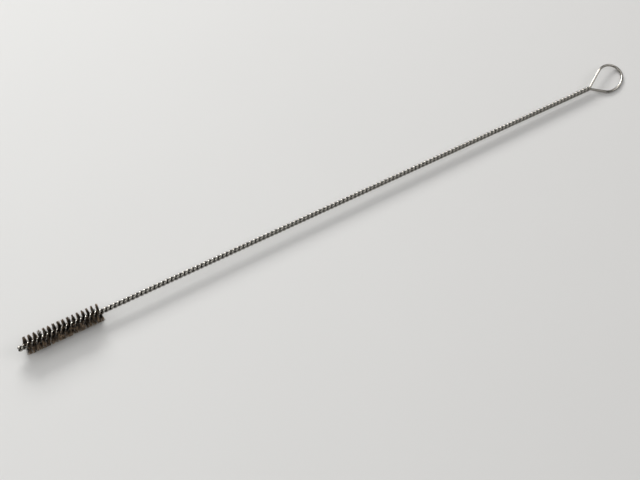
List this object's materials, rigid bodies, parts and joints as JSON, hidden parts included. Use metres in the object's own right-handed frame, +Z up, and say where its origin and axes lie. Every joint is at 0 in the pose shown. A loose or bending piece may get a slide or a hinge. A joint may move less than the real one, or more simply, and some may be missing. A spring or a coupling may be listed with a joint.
{
  "type": "test tube brush",
  "caption": "Twisted-in-wire test tube brush: a round bristle head at one end of a long twisted wire stem, and a finger loop bent in the same wire at the other end.",
  "frame": {"origin": "on the table, under the middle of the brush's box", "axes": "+X along the brush from the bristle head to the finger loop, +Y to the side that the loop bulges to, +Z up from the table the brush lies on"},
  "size_m": [0.2994, 0.0138, 0.0077],
  "materials": {
    "wire": "drawn wire, lightly dulled zinc",
    "bristles": "dark nylon filaments, fuzzy at the tips"
  },
  "bodies": {
    "root": {"twisted_wire": "wire", "bristle_fill": "bristles"}
  },
  "joints": []
}
